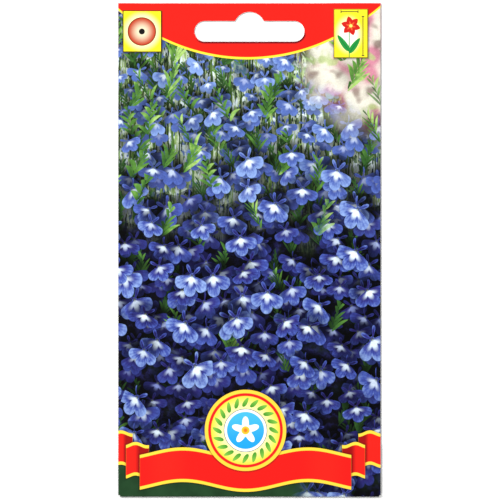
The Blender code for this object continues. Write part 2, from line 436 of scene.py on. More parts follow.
# %% Wall and slot
SLOT_WIDTH = 33.6 * MM
SLOT_HEIGHT = 6.3 * MM
SLOT_ROUND = 3.149 * MM
SLOT_MIDDLE = HALF_HEIGHT - 5.4 * MM - SLOT_HEIGHT / 2
CROWN_RADIUS = 4.8 * MM
CROWN_RISE = 2.8 * MM
PUNCH_DEPTH = 10 * MM


def apply_all(obj):
    only(obj)
    for modifier in list(obj.modifiers):
        bpy.ops.object.modifier_apply(modifier=modifier.name)


def bar_punch():
    """The long part of the punch, its ends rounded by a bevel."""
    block = {"location": (0, SLOT_MIDDLE, 0), "scale": (SLOT_WIDTH, SLOT_HEIGHT, PUNCH_DEPTH)}
    punch = add_shape(bpy.ops.mesh.primitive_cube_add, size=1, **block)
    bpy.ops.object.transform_apply(location=False, rotation=False, scale=True)
    for edge in punch.data.edges:
        ends = [punch.data.vertices[k].co for k in edge.vertices]
        edge.select = abs(ends[0].z - ends[1].z) > MM
    bpy.ops.object.mode_set(mode="EDIT")
    bpy.ops.mesh.select_mode(type="EDGE")
    bpy.ops.mesh.bevel(offset=SLOT_ROUND, segments=12, affect="EDGES")
    bpy.ops.object.mode_set(mode="OBJECT")
    return punch


def crown_punch():
    """The crown: a short cylinder, its lower part cut off inside the bar."""
    centre = (0, SLOT_MIDDLE + SLOT_HEIGHT / 2 + CROWN_RISE - CROWN_RADIUS, 0)
    round_size = {"vertices": 72, "radius": CROWN_RADIUS, "depth": PUNCH_DEPTH}
    punch = add_shape(bpy.ops.mesh.primitive_cylinder_add, location=centre, **round_size)
    bpy.ops.object.mode_set(mode="EDIT")
    bpy.ops.mesh.select_all(action="SELECT")
    through = {"plane_co": (0, SLOT_MIDDLE, 0), "plane_no": (0, -1, 0)}
    bpy.ops.mesh.bisect(use_fill=True, clear_outer=True, **through)
    bpy.ops.object.mode_set(mode="OBJECT")
    return punch


EMPTY_FINISHES = [bpy.data.materials.new(name) for name in ("front", "bare", "edge", "back")]
for empty in EMPTY_FINISHES:
    sheet.data.materials.append(empty)
wall = sheet.modifiers.new("wall", "SOLIDIFY")
wall.thickness = PAPER
wall.offset = 0
wall.use_even_offset = True
wall.material_offset = 1
wall.material_offset_rim = 2
apply_all(sheet)

for make_punch in (bar_punch, crown_punch):
    punch = make_punch()
    for empty in EMPTY_FINISHES[:3]:
        punch.data.materials.append(empty)
    for face in punch.data.polygons:
        face.material_index = 2
    cut = sheet.modifiers.new("slot", "BOOLEAN")
    cut.operation = "DIFFERENCE"
    cut.solver = "EXACT"
    cut.object = punch
    apply_all(sheet)
    bpy.data.objects.remove(punch)
print(f"{len(sheet.data.polygons)} faces after the punch")

# %% [markdown]
# ## The folded sheet: which face carries which print
# The back panel and the bottom flap are the faces that look down, so they take the back's print.
# The folds are smooth, and the cut edges stay sharp.

# %% Sides and shading
for face in sheet.data.polygons:
    if face.material_index == 0 and face.normal.z < -0.3:
        face.material_index = 3
only(sheet)
bpy.ops.object.shade_smooth_by_angle(angle=math.radians(32))
counts = np.bincount([face.material_index for face in sheet.data.polygons], minlength=4)
print("faces by finish:", dict(zip(("front", "bare", "edge", "back"), counts.tolist())))
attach(sheet, "root")
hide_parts("packet_sheet")

# %% [markdown]
# ## The folded sheet: a map that keeps the print sharp
# When a model leaves Blender, its materials are painted into one square picture for each piece. A
# map made by a button would give the hidden inside as much of that picture as the front. This one
# is laid out in given boxes: half of the picture for the front, most of the rest for the back, and a
# corner for what is hidden. A cut edge is only a hair wide, so its faces get small cells.

# %% Lay out the map
CELL_FILL = 0.36


def lay_out(target, corners, low, high):
    """Spreads the flat lines of some corners over a box of the map, from low to high."""
    lines = flat[corners]
    least, most = lines.min(axis=0), lines.max(axis=0)
    target[corners] = np.array(low) + (lines - least) / (most - least) * np.subtract(high, low)


def lay_out_cells(target, faces, low, high):
    """Gives each face a regular polygon in a cell of its own."""
    across = math.ceil(math.sqrt(len(faces) * (high[0] - low[0]) / (high[1] - low[1])))
    cell = (high[0] - low[0]) / across
    for k, face in enumerate(faces):
        middle = (low[0] + (k % across + 0.5) * cell, low[1] + (k // across + 0.5) * cell)
        for turn, corner in enumerate(face.loop_indices):
            angle = math.tau * turn / face.loop_total
            reach = CELL_FILL * cell * math.cos(angle), CELL_FILL * cell * math.sin(angle)
            target[corner] = middle[0] + reach[0], middle[1] + reach[1]


corner_count = len(sheet.data.loops)
flat = np.empty(corner_count * 2)
sheet.data.uv_layers["flat"].data.foreach_get("uv", flat)
flat = flat.reshape(-1, 2) * 100 * MM
faces = sheet.data.polygons
face_of = np.repeat(np.arange(len(faces)), [face.loop_total for face in faces])
finish = np.array([face.material_index for face in faces])[face_of]
sizes_of = np.bincount(face_of)
s_mid, t_mid = (np.bincount(face_of, line)[face_of] / sizes_of[face_of] for line in flat.T)
outside = (finish == 0) | (finish == 3)
past_left = s_mid < -FRONT_LEFT - math.pi * LEFT_FOLD / 2
past_right = s_mid > FRONT_RIGHT + math.pi * RIGHT_FOLD / 2
past_foot = t_mid < FOLD_LINE - math.pi * BOTTOM_FOLD / 2
bake_map = np.zeros((corner_count, 2))
lay_out(bake_map, outside & ~past_left & ~past_right & ~past_foot, (0.004, 0.004), (0.53, 0.996))
lay_out(bake_map, outside & past_left, (0.54, 0.23), (0.955, 0.996))
lay_out(bake_map, outside & past_right, (0.965, 0.23), (0.996, 0.996))
lay_out(bake_map, outside & past_foot, (0.54, 0.13), (0.996, 0.22))
lay_out(bake_map, finish == 1, (0.54, 0.004), (0.7, 0.12))
cut_faces = [face for face in faces if face.material_index == 2]
lay_out_cells(bake_map, cut_faces, (0.71, 0.004), (0.996, 0.12))
sheet.data.uv_layers.new(name="OFBake").data.foreach_set("uv", bake_map.ravel())
print(f"map laid out for {corner_count} corners, {(finish == 2).sum()} of them on cut edges")

# %% [markdown]
# ## The print: a scatter of places
# A field of blossoms needs places that look thrown down and yet never meet. A Voronoi texture
# gives one point to each cell of a loosened grid, and a random colour to roll dice with. Each
# layer turns its grid another way, so the grids can't be seen.

# %% Scatter places over the paper
LOOSENESS = 0.45


def scatter(place, shift, pitch, turn):
    """Local x and y in millimetres round each cell's point, its height on the paper, three dice."""
    shrink = {0: place, "Scale": 1.0 / pitch}
    scaled = place.node("ShaderNodeVectorMath", {"operation": "SCALE"}, shrink)
    spin = {"rotation_type": "Z_AXIS"}
    turned = place.node("ShaderNodeVectorRotate", spin, {"Vector": scaled, "Angle": turn})
    grid = place.node("ShaderNodeVectorMath", {"operation": "ADD"}, {0: turned, 1: shift})
    cells = {"voronoi_dimensions": "2D", "feature": "F1"}
    loose = {"Vector": grid, "Scale": 1.0, "Randomness": LOOSENESS}
    colour = place.node("ShaderNodeTexVoronoi", cells, loose, 1)
    point = Ink(colour.socket.node.outputs[2])
    away = place.node("ShaderNodeVectorMath", {"operation": "SUBTRACT"}, {0: grid, 1: point})
    back = place.node("ShaderNodeVectorRotate", spin, {"Vector": away, "Angle": -turn})
    local = place.node("ShaderNodeVectorMath", {"operation": "SCALE"}, {0: back, "Scale": pitch})
    x, y = split(local)
    dice = colour.node("ShaderNodeSeparateColor", None, {0: colour})
    return x, y, split(place)[1] - y, [Ink(dice.socket.node.outputs[k]) for k in range(3)]


def fade(value, *stops):
    """A colour ramp: each stop is a place from 0 to 1 and a linear colour."""
    return value.node("ShaderNodeValToRGB", {"stops": stops}, {0: value})


# %% [markdown]
# ## The print: one blossom
# The blossom of a trailing bedding plant has a broad lower lip of three round lobes, two thin
# petals above, and a white eye that fans out from its throat. In polar terms it is one curve: how
# far the petals reach at each angle from straight down. Everything inside that reach is petal.


# %% Draw blossoms
def draw_blossom(place, shift, pitch, turn, size, light, keep, rise):
    x, y, height, (first, second, third) = scatter(place, shift, pitch, turn)
    aloft = ramp_up(height, -5.0, 55.0)
    size = size * (0.84 + 0.3 * first) * (1.0 - 0.3 * aloft)
    kept = inside(keep + rise * aloft - alone("FRACT", first * 7.31 + second * 3.17), 0.01)
    y = (y - size * 0.35) / (0.86 + 0.36 * third)
    far, from_down = polar(-y, x)
    angle = abs(from_down - (second - 0.5) * 1.5)
    fold = abs(alone("COSINE", angle * 3.2))
    lip = (0.62 + 0.38 * root(fold)) * ramp_up(angle, 1.62, 1.35)
    horn = (angle - 2.5) / 0.3
    horns = 0.62 * root(1.0 - horn * horn)
    reach = size * larger(larger(lip, horns), 0.13)
    share = far / reach
    mask = inside(reach - far, 0.2) * kept
    shadow = ramp_up(far, size * 1.3, size * 0.5) * kept

    rim = ramp_up(share, 0.5, 1.0)
    crease = ramp_up(fold, 0.5, 0.0) * ramp_up(share, 1.0, 0.5)
    vein = alone("SINE", angle * 30.0) * ramp_up(share, 0.2, 0.6)
    fleck = noise(place, 0.6, 3.0, 0.65)
    tone = 0.14 + 0.46 * third + 0.26 * rim - 0.3 * crease + 0.05 * vein
    tone = tone - 0.2 * ramp_up(angle, 1.5, 2.0)
    tone = light * (tone + 0.9 * (fleck - 0.42)) + 0.22 * aloft
    petal = fade(
        tone,
        (0.0, linear(18, 16, 50)),
        (0.3, linear(43, 48, 116)),
        (0.6, linear(68, 86, 168)),
        (1.0, linear(142, 170, 224)),
    )
    petal = lay_over(0.45 * second * (1.0 - rim), petal, linear(54, 42, 126))
    petal = lay_over(0.45 * aloft, petal, linear(104, 136, 200))
    fan = ramp_up(far, size * (0.36 + 0.28 * fold), size * 0.22) * ramp_up(angle, 1.3, 0.6)
    white = lay_over(clamp(light * 1.3 - 0.3), linear(84, 98, 178), linear(228, 244, 255))
    petal = lay_over(clamp(fan * (0.6 + 0.7 * first)), petal, white)
    throat = ramp_up(far, size * 0.12, size * 0.04)
    return mask, lay_over(throat * 0.6, petal, linear(84, 92, 58)), shadow


# %% [markdown]
# ## The print: leafy shoots
# Between the blossoms stand thin shoots with narrow, pointed leaves on both sides. Drawing each
# leaf would take a mask per leaf. Here the height above the foot is cut into equal steps that
# slope up and away from the stem, so that one formula gives all the leaves, and chance gives each
# its length.


# %% Draw shoots
def draw_shoot(place, shift, pitch, turn, size, light, keep, rise, step):
    x, y, height, (first, second, third) = scatter(place, shift, pitch, turn)
    aloft = ramp_up(height, 0.0, 50.0)
    kept = inside(keep + rise * aloft - third, 0.01)
    climb = y + size * 0.5
    across = x - (second - 0.5) * 1.1 * climb + 0.04 * climb * climb * (first - 0.5)
    side = abs(across)
    right = inside(across, 0.01)
    level = (climb - side * (1.0 + 1.1 * first) + 0.12 * side * side) / step + 0.5 * right
    number = alone("ROUND", level)
    chance = alone("FRACT", alone("SINE", number * 12.9898 + (second + right) * 78.233) * 437.585)
    up = number * step
    length = (0.06 + 0.46 * chance) * (size * 1.05 - 0.7 * up)
    along = clamp(side / length)
    half_leaf = (0.09 + 0.07 * second) * size * root(along * (1.0 - along)) * (1.2 - along)
    leaf = smaller(half_leaf - abs(level - number) * step * 0.55, length - side)
    leaf = smaller(leaf, smaller(up + 0.2 * step, size * 0.92 - up))
    stem = smaller(0.2 - 0.016 * climb - side, smaller(climb, size - climb))
    mask = inside(larger(leaf, stem), 0.14) * kept
    shadow = ramp_up(polar(x, y)[0], size * 0.7, size * 0.2) * kept * 0.5
    tone = 0.06 + 0.5 * chance + 0.26 * along + 0.3 * right * first
    tone = tone + 0.9 * (noise(place, 0.35, 2.0) - 0.42)
    green = fade(
        light * tone,
        (0.0, linear(14, 28, 16)),
        (0.4, linear(50, 90, 40)),
        (0.75, linear(92, 142, 58)),
        (1.0, linear(166, 202, 112)),
    )
    return mask, green, shadow


# %% [markdown]
# ## The print: a stamp for each shape
# Eleven layers share two shapes. Each shape becomes a node group, like a rubber stamp with dials,
# and a layer is one press of it. The renderer keeps half-finished numbers in a small memory. It
# would work on all layers at once and run out, so each layer's place is tied to the ink below it.


# %% Stamps and pressing
def make_stamp(name, draw, *dials):
    stamp = bpy.data.node_groups.new(name, "ShaderNodeTree")
    kinds = {"place": "Vector", "shift": "Vector", "colour": "Color"}
    sides = {"INPUT": ("place", "shift", *dials), "OUTPUT": ("mask", "colour", "shadow")}
    for side, names in sides.items():
        for dial in names:
            kind = "NodeSocket" + kinds.get(dial, "Float")
            stamp.interface.new_socket(name=dial, in_out=side, socket_type=kind)
    entry = stamp.nodes.new("NodeGroupInput")
    inks = {socket.name: Ink(socket) for socket in entry.outputs if socket.name}
    way_out = stamp.nodes.new("NodeGroupOutput")
    for ink, socket in zip(draw(**inks), way_out.inputs):
        stamp.links.new(ink.socket, socket)
    print(f"{name}: {len(stamp.nodes)} nodes")
    return stamp


def after(ink, place):
    """The same place, tied by a billionth to the ink below it, so that it is worked out later."""
    tie = {0: ink, 1: (1e-9, 1e-9, 1e-9), 2: place}
    return place.node("ShaderNodeVectorMath", {"operation": "MULTIPLY_ADD"}, tie)


def press(ink, place, stamp, depth=0.7, **dials):
    """Prints one layer over the ink: its soft shadow first, then its shapes."""
    mask = place.node("ShaderNodeGroup", {"node_tree": stamp}, {"place": after(ink, place), **dials})
    own, shadow = (Ink(mask.socket.node.outputs[k]) for k in (1, 2))
    return lay_over(mask, darken(ink, 1.0 - depth * shadow), own)


DIALS = ("pitch", "turn", "size", "light", "keep", "rise")
blossom_stamp = make_stamp("blossom_stamp", draw_blossom, *DIALS)
shoot_stamp = make_stamp("shoot_stamp", draw_shoot, *DIALS, "step")

# %% [markdown]
# ## The print: the ground of the flower field
# Behind the blossoms it is nearly black and violet below. Higher up the light comes through, with
# thin stems, mid greens, and pale gaps. The upper right is out of focus, in pink and white.


# %% Paint the ground
def field_ground(place):
    x, y = split(place)
    broad = noise(place, 0.09, 3.0)
    fine = noise(place, 0.4, 4.0, 0.6)
    aloft = ramp_up(y + 34.0 * (broad - 0.5), 0.0, 44.0)
    low = lay_over(ramp_up(fine, 0.44, 0.7), linear(12, 10, 20), linear(36, 36, 88))
    low = lay_over(ramp_up(broad, 0.52, 0.7) * 0.6, low, linear(24, 38, 24))
    high = lay_over(ramp_up(fine, 0.4, 0.6), linear(34, 54, 38), linear(112, 140, 96))
    high = lay_over(ramp_up(noise(place, 0.31, 2.0), 0.49, 0.57), high, linear(96, 118, 182))
    high = lay_over(ramp_up(noise(place, 0.42, 3.0), 0.47, 0.54), high, linear(216, 232, 236))
    tones = linear(30, 48, 30), linear(146, 176, 104), linear(196, 214, 176)
    for turn, tone in zip((0.35, -0.5, 0.15), tones):
        drawn_out = {"Vector": place, "Rotation": (0, 0, turn), "Scale": (3.0, 0.45, 1.0)}
        streak = noise(place.node("ShaderNodeMapping", None, drawn_out), 0.55, 2.0)
        high = lay_over(ramp_up(streak, 0.56, 0.6), high, tone)
    ground = lay_over(aloft, low, high)
    wave = x + 2.2 * noise(place, 0.07, 1.0) + 0.9 * noise(place, 0.3, 1.0)
    for spacing, offset, half, tone in ((3.7, 0.3, 0.26, 0.35), (5.9, 0.7, 0.36, 0.75)):
        column = wave / spacing + offset
        off = abs(column - alone("ROUND", column)) * spacing
        stem = inside(half - off, 0.15) * ramp_up(y, 4.0, 30.0)
        ground = lay_over(stem, ground, tuple(tone * v for v in linear(88, 124, 56)))
    return ground


def soft_corner(place, ground):
    """The out-of-focus upper right: big soft blots."""
    x, y = split(place)
    blot = noise(place, 0.12, 1.0)
    other = noise(place, 0.2, 1.0)
    blur = lay_over(ramp_up(blot, 0.38, 0.56), linear(204, 134, 152), linear(228, 224, 208))
    blur = lay_over(ramp_up(other, 0.56, 0.72) * 0.7, blur, linear(110, 72, 66))
    blur = lay_over(ramp_up(other, 0.44, 0.32) * 0.8, blur, linear(176, 192, 124))
    from_left = ramp_up(x + 10.0 * (other - 0.5), 13.0, 22.0)
    from_below = ramp_up(y + 0.5 * x + 16.0 * (blot - 0.5), 50.0, 66.0)
    return lay_over(from_left * from_below, ground, blur)


# %% [markdown]
# ## The print: flat graphics
# The header, the two small signs, the ribbon and the round badge are flat graphics. Each is a few
# distances: how deep a point lies inside a box, a disc or a band. The header is a wide bow that
# hangs from the top edge, with a thin yellow line along it.

# %% The header
HEADER_RED = linear(238, 32, 24)
LINE_YELLOW = linear(252, 222, 60)
HEADER_FOOT = 58.8
HEADER_LINE = 0.7
# Width in millimetres of the painted shade along the slot's lower edge.
SLOT_SHADE_WIDTH = 0.6


def fill(below, *shapes):
    """Lays shapes with sharp edges over the ink in turn, each given by its depth and colour."""
    for depth, colour in shapes:
        below = lay_over(inside(depth), below, colour)
    return below


def print_header(x, y, below):
    """The red header, and a thin line of painted shade along the lower side of the slot."""
    squared = x * x
    bow = y - (HEADER_FOOT + 0.0105 * x + 0.00855 * squared + 6.4e-7 * squared * squared)
    drawn = fill(below, (bow + HEADER_LINE, LINE_YELLOW), (bow, HEADER_RED))
    round_end, slot_half = (SLOT_WIDTH - SLOT_HEIGHT) / 2 / MM, SLOT_HEIGHT / 2 / MM
    from_slot = polar(larger(abs(x) - round_end, 0.0), y - SLOT_MIDDLE / MM)[0] - slot_half
    # Painted shade: a dark band round the slot, kept on its lower side only, where the cut would
    # throw its shadow.
    line = inside(SLOT_SHADE_WIDTH - from_slot, 0.5) * ramp_up(y - 0.06 * x, 66.2, 63.9)
    return lay_over(line * 0.88, drawn, linear(52, 20, 26))


# %% [markdown]
# ## The print: two small signs
# Growers read two signs at a glance: how much sun the plant wants, and how tall it grows. Both
# are yellow cards with a thin dark border and a soft shadow, so one function draws the cards. The
# plant's leaves and petals are again distances to a curve.

# %% Signs
SUN_CARD = (-32.7, 66.65), (5.95, 6.4)
PLANT_CARD = (30.9, 66.0), (5.25, 7.5)
SUN = (-32.8, 66.6)
FLOWER = (30.9, 68.3)


def box_depth(x, y, middle, half):
    return smaller(half[0] - abs(x - middle[0]), half[1] - abs(y - middle[1]))


def print_card(x, y, below, middle, half, border):
    """The depth inside a card, and the card drawn over its soft shadow at the lower right."""
    shade_middle, shade_half = (middle[0] + 0.2, middle[1] - 0.3), (half[0] + 0.15, half[1] + 0.1)
    shadow = inside(box_depth(x, y, shade_middle, shade_half), 0.5)
    drawn = lay_over(shadow * 0.6, below, linear(30, 22, 16))
    card = box_depth(x, y, middle, half)
    return card, fill(drawn, (card, border))


def print_sun_sign(x, y, below):
    """A yellow square with a disc that pales towards its middle: full sun."""
    card, drawn = print_card(x, y, below, *SUN_CARD, linear(66, 56, 20))
    far = polar(x - SUN[0], y - SUN[1])[0]
    glow = lay_over(ramp_up(far, 4.0, 6.6), linear(255, 252, 190), linear(254, 240, 40))
    disc = lay_over(ramp_up(far, 0.5, 4.3), linear(236, 224, 190), linear(186, 58, 28))
    rings = (4.35 - far, linear(110, 40, 22)), (4.1 - far, disc), (0.9 - far, linear(22, 20, 20))
    return fill(drawn, (card - 0.3, glow), *rings)


def leaf_depth(x, y, foot, turn, length, width):
    """Inside of one pointed leaf that grows from its foot."""
    u = (x - foot[0]) * math.cos(turn) + (y - foot[1]) * math.sin(turn)
    v = (y - foot[1]) * math.cos(turn) - (x - foot[0]) * math.sin(turn)
    along = clamp(u / length)
    half_leaf = width * root(along * (1.0 - along)) * (1.25 - 0.5 * along)
    return smaller(half_leaf - abs(v), smaller(u, length - u))


def print_height_sign(x, y, below):
    """A yellow card with a simple plant between two bare measuring lines."""
    card, drawn = print_card(x, y, below, *PLANT_CARD, linear(120, 100, 24))
    pale = ramp_up(polar(x - 30.2, (y - 65.6) * 0.72)[0], 1.6, 4.8)
    glow = lay_over(pale, linear(255, 255, 240), linear(250, 234, 44))
    stem = box_depth(x, y, (30.4, 62.9), (0.15, 4.2))
    leaves = ((30.4, 60.6), 2.2, 6.0), ((30.4, 60.0), 0.95, 5.6)
    green = larger(*(leaf_depth(x, y, foot, turn, length, 1.7) for foot, turn, length in leaves))
    drawn = fill(drawn, (card - 0.25, glow), (larger(stem, green), linear(36, 142, 62)))
    rib = larger(*(leaf_depth(x, y, foot, turn, length - 0.6, 0.22) for foot, turn, length in leaves))
    drawn = lay_over(inside(rib, 0.16) * 0.7, drawn, linear(16, 92, 40))
    far, angle = polar(x - FLOWER[0], y - FLOWER[1])
    slice_of = angle * (6 / math.tau) + 0.25
    point = abs(slice_of - alone("ROUND", slice_of))
    drawn = fill(drawn, (3.0 - 2.3 * point - far, linear(200, 34, 26)))
    drawn = lay_over(inside(1.5 - 2.4 * point - far, 0.4) * 0.8, drawn, linear(240, 110, 50))
    upright = box_depth(x, y, (34.6, 65.2), (0.14, 6.0))
    level = box_depth(x, y, (30.5, 72.6), (2.6, 0.14))
    ends = larger(
        box_depth(x, abs(y - 65.2), (34.6, 6.0), (0.45, 0.14)),
        box_depth(abs(x - 30.5), y, (2.6, 72.6), (0.14, 0.45)),
    )
    lines = larger(larger(upright, level), ends)
    return fill(drawn, (0.5 - far, linear(250, 226, 110)), (lines, linear(44, 44, 40)))


# %% [markdown]
# ## The print: ribbon and badge
# A ribbon runs along the foot of the front, with its ends folded behind it and a round badge on
# top. Both are common ornaments, drawn here in a plain form of their own: red and yellow, a
# wreath of leaves, a white flower on a blue disc.

# %% Ribbon and badge
RIBBON_BORDER = 0.95
BADGE = (-1.2, -54.9)
WREATH_LEAVES = 20


def ribbon_band(drawn, from_edge, from_end, red):
    """One flat stretch of the ribbon: red, with a yellow border along its two edges."""
    depth = smaller(from_edge, from_end)
    drawn = lay_over(inside(depth + 0.3, 0.7) * 0.6, drawn, linear(16, 8, 12))
    middle = smaller(from_edge - RIBBON_BORDER, from_end)
    return fill(drawn, (depth, linear(250, 212, 66)), (middle, red))


def print_ribbon(x, y, below):
    middle = x - BADGE[0]
    side = abs(middle)
    red, turned_away = linear(238, 34, 26), linear(150, 16, 18)
    tail_line = y + 60.7 + 0.5 * alone("COSINE", side * 0.9 - 31.0)
    tail_red = lay_over(ramp_up(side, 36.2, 38.0), turned_away, red)
    drawn = ribbon_band(below, 5.2 - abs(tail_line), side - 34.4, tail_red)
    step_line = y + 64.1 + 0.5 * alone("COSINE", side * 0.9 - 27.0)
    step_red = lay_over(ramp_up(side, 32.0, 34.2), turned_away, red)
    drawn = ribbon_band(drawn, 5.1 - abs(step_line), smaller(side - 29.4, 36.4 - side), step_red)
    wave = y + 66.9 + 1.5 * alone("COSINE", middle * 0.165)
    shade = lay_over(ramp_up(abs(side - 24.0), 8.0, 1.0), linear(226, 28, 24), red)
    return ribbon_band(drawn, 5.3 - abs(wave), 32.2 - side, shade)


def print_badge(x, y, below):
    far, angle = polar(x - BADGE[0], y - BADGE[1])
    drawn = lay_over(inside(12.75 - far, 0.5) * 0.55, below, linear(16, 10, 14))
    field = lay_over(ramp_up(far, 6.4, 10.6), linear(255, 250, 170), linear(250, 218, 70))
    rims = (12.4 - far, linear(252, 208, 66)), (11.35 - far, linear(228, 32, 34))
    drawn = fill(drawn, *rims, (10.5 - far, field))
    slices = angle * (WREATH_LEAVES / math.tau)
    off = (slices - alone("ROUND", slices)) * (math.tau / WREATH_LEAVES)
    along = clamp((far - 7.2) / 2.9)
    half_leaf = 1.5 * root(along * (1.0 - along)) * (1.2 - 0.5 * along)
    leaf = half_leaf - abs(off + 0.16 * (along - 0.5)) * far
    leaf = smaller(leaf, smaller(far - 7.2, 10.1 - far))
    green = lay_over(along, linear(60, 140, 46), linear(132, 198, 74))
    sky = lay_over(ramp_up(y, -60.0, -49.5), linear(34, 156, 224), linear(70, 184, 236))
    rims = (6.65 - far, linear(70, 74, 88)), (6.45 - far, linear(250, 250, 250))
    drawn = fill(drawn, (leaf, green), *rims, (5.65 - far, sky))
    petals = 3.1 + 1.15 * alone("COSINE", angle * 5.0 - 1.5708)
    white = lay_over(ramp_up(far, 1.0, 4.0), linear(226, 234, 250), (1, 1, 1))
    drawn = fill(drawn, (petals - far, white), (1.25 - far, linear(250, 196, 50)))
    return lay_over(inside(0.6 - far, 0.5), drawn, linear(226, 120, 34))


# %% [markdown]
# ## The print: all layers in order
# Printing goes from the back forward: dark ground, dim leaves and small far blossoms, then
# brighter ones, each layer with its soft shadow on what lies under it. The graphics come last.

# %% Print the front
def layer(stamp, pitch, turn, shift, size, light, keep, rise, **more):
    dials = {"pitch": pitch, "turn": turn, "shift": shift, "size": size, "light": light}
    return {"stamp": stamp, **dials, "keep": keep, "rise": rise, **more}


LAYERS = [
    layer(shoot_stamp, 7.8, 0.52, (2.2, 1.1, 0), 7.4, 0.46, 0.44, 0.2, step=1.5),
    layer(blossom_stamp, 9.6, 0.31, (1.7, 4.2, 0), 4.4, 0.34, 0.90, -0.3),
    layer(blossom_stamp, 10.4, 1.22, (7.1, 0.6, 0), 4.6, 0.48, 0.84, -0.3),
    layer(blossom_stamp, 6.6, 2.43, (5.7, 1.3, 0), 4.0, 0.95, -0.80, 1.7),
    layer(shoot_stamp, 8.8, 2.31, (6.4, 3.7, 0), 8.0, 0.72, 0.24, 0.45, step=1.7),
    layer(blossom_stamp, 11.4, 2.03, (3.3, 8.8, 0), 4.9, 0.64, 0.82, -0.3),
    layer(blossom_stamp, 11.8, 0.74, (9.6, 5.4, 0), 5.1, 0.80, 0.82, -0.3),
    layer(shoot_stamp, 9.8, 1.05, (8.3, 9.2, 0), 8.6, 0.92, 0.08, 0.4, step=1.9),
    layer(blossom_stamp, 12.2, 2.71, (5.2, 2.9, 0), 5.3, 0.94, 0.76, -0.25),
]
TOP_LAYERS = [
    layer(blossom_stamp, 12.7, 1.63, (0.4, 7.5, 0), 5.4, 1.06, 0.66, -0.2),
    layer(shoot_stamp, 11.0, 0.17, (4.4, 6.1, 0), 9.2, 1.08, 0.0, 0.45, step=2.1),
]


def print_foot(place, below):
    """The dark green ground under the ribbon."""
    x, y = split(place)
    foot = ramp_up(y, -61.0, -66.5) * ramp_up(x, 22.0, 12.0)
    green = lay_over(noise(place, 0.2, 2.0), linear(20, 44, 24), linear(40, 74, 44))
    return lay_over(foot, below, green)


def print_front():
    paint, shader, place = new_paint("front_print_ink")
    ink = field_ground(place)
    for dials in LAYERS:
        ink = press(ink, place, **dials)
    first_top, last_top = TOP_LAYERS
    ink = press(ink, place, **first_top)
    ink = soft_corner(after(ink, place), ink)
    ink = press(ink, place, **last_top)
    late = after(ink, place)
    dusk = ramp_up(split(late)[1], -58.0, -8.0)
    grain = 0.7 + 0.6 * noise(late, 2.2, 3.0, 0.7)
    ink = print_foot(late, darken(ink, (0.84 + 0.16 * dusk) * grain))
    for graphic in (print_ribbon, print_badge, print_header, print_sun_sign, print_height_sign):
        x, y = split(after(ink, place))
        ink = graphic(x, y, ink)
    gloss = noise(place, 1.6, 3.0)
    relief = bump(noise(place, 2.4, 3.0), 0.12, 0.02 * MM)
    plug_surface(shader, ink, gloss * 0.08 + 0.2, relief)
    shader.inputs["Specular IOR Level"].default_value = 0.25
    return paint


sheet.data.materials[0] = print_front()
print(f"{len(sheet.data.materials[0].node_tree.nodes)} nodes in the front print")

# %% [markdown]
# ## The back, the bare inside and the cut edge
# The back isn't in view on the photo, so it stays plain: white paper with the red header running
# over the top, a sowing calendar of twelve cells, ruled lines and an empty box. Uncoated paper is
# never quite even. Long fibres and soft clouds vary its white, and the cut edge shows them too.

# %% Print the back and the bare paper
COLUMN_HALF = 33.0
MONTH_WIDTH = 5.5
LINE_PITCH = 3.4


def paper_white(place, warmth=1.0):
    """White paper with soft clouds and fine fibres."""
    clouds = noise(place, 0.25, 3.0)
    stretched = place.node("ShaderNodeMapping", None, {"Vector": place, "Scale": (0.6, 4.0, 1.0)})
    fibres = noise(stretched, 1.3, 4.0, 0.65)
    shade = 0.55 * clouds + 0.45 * fibres
    dull, bright = linear(228, 226, 218 * warmth), linear(246, 246, 242 * warmth)
    return lay_over(ramp_up(shade, 0.3, 0.7), dull, bright), fibres


def print_back():
    paint, shader, place = new_paint("back_print_ink")
    right, y = split(place)
    x = -right
    ink, fibres = paper_white(place)
    ink = fill(ink, (y - 60.2, LINE_YELLOW), (y - 60.8, HEADER_RED))
    month = (x + COLUMN_HALF) / MONTH_WIDTH
    cell = alone("FLOOR", month)
    in_cell = 2.6 - abs(alone("FRACT", month) - 0.5) * MONTH_WIDTH
    strip = box_depth(x, y, (0, 47.5), (COLUMN_HALF, 3.4))
    sown = inside(smaller(cell - 1.5, 4.5 - cell), 0.01)
    grown = inside(smaller(cell - 4.5, 9.5 - cell), 0.01)
    tint = lay_over(sown, linear(236, 238, 226), linear(120, 190, 92))
    tint = lay_over(grown, tint, linear(104, 128, 214))
    cells = smaller(in_cell, strip - 0.15)
    ink = fill(ink, (strip, linear(120, 124, 116)), (cells, tint))
    for middle, half in ((20.0, 20.5), (-33.0, 12.0)):
        ruled = box_depth(x, y, (0, middle), (COLUMN_HALF, half))
        line = y / LINE_PITCH
        off = abs(line - alone("ROUND", line)) * LINE_PITCH
        ink = lay_over(inside(smaller(0.12 - off, ruled)) * 0.7, ink, linear(150, 156, 170))
    empty_box = box_depth(x, y, (0, -8.0), (COLUMN_HALF, 6.0))
    ink = fill(ink, (empty_box, linear(60, 148, 74)), (empty_box - 0.35, linear(240, 247, 232)))
    plug_surface(shader, ink, 0.5 + 0.12 * fibres, bump(fibres, 0.2, 0.02 * MM))
    shader.inputs["Specular IOR Level"].default_value = 0.25
    return paint


def bare_paper(name, rough):
    paint, shader, place = new_paint(name)
    ink, fibres = paper_white(place, 0.98)
    plug_surface(shader, ink, rough + 0.15 * fibres, bump(fibres, 0.5, 0.03 * MM))
    return paint


sheet.data.materials[1] = bare_paper("bare_paper_fibre", 0.7)
sheet.data.materials[2] = bare_paper("cut_edge_fibre", 0.8)
sheet.data.materials[3] = print_back()
for empty in EMPTY_FINISHES:
    bpy.data.materials.remove(empty)
print("finishes:", [paint.name for paint in sheet.data.materials])

# %% [markdown]
# ## Glue, sachet and seed
# The glue is clear amber where it has soaked in. The sachet has thin paper behind and film in
# front, both with a ribbed rim. The seed's brown varies from grain to grain.

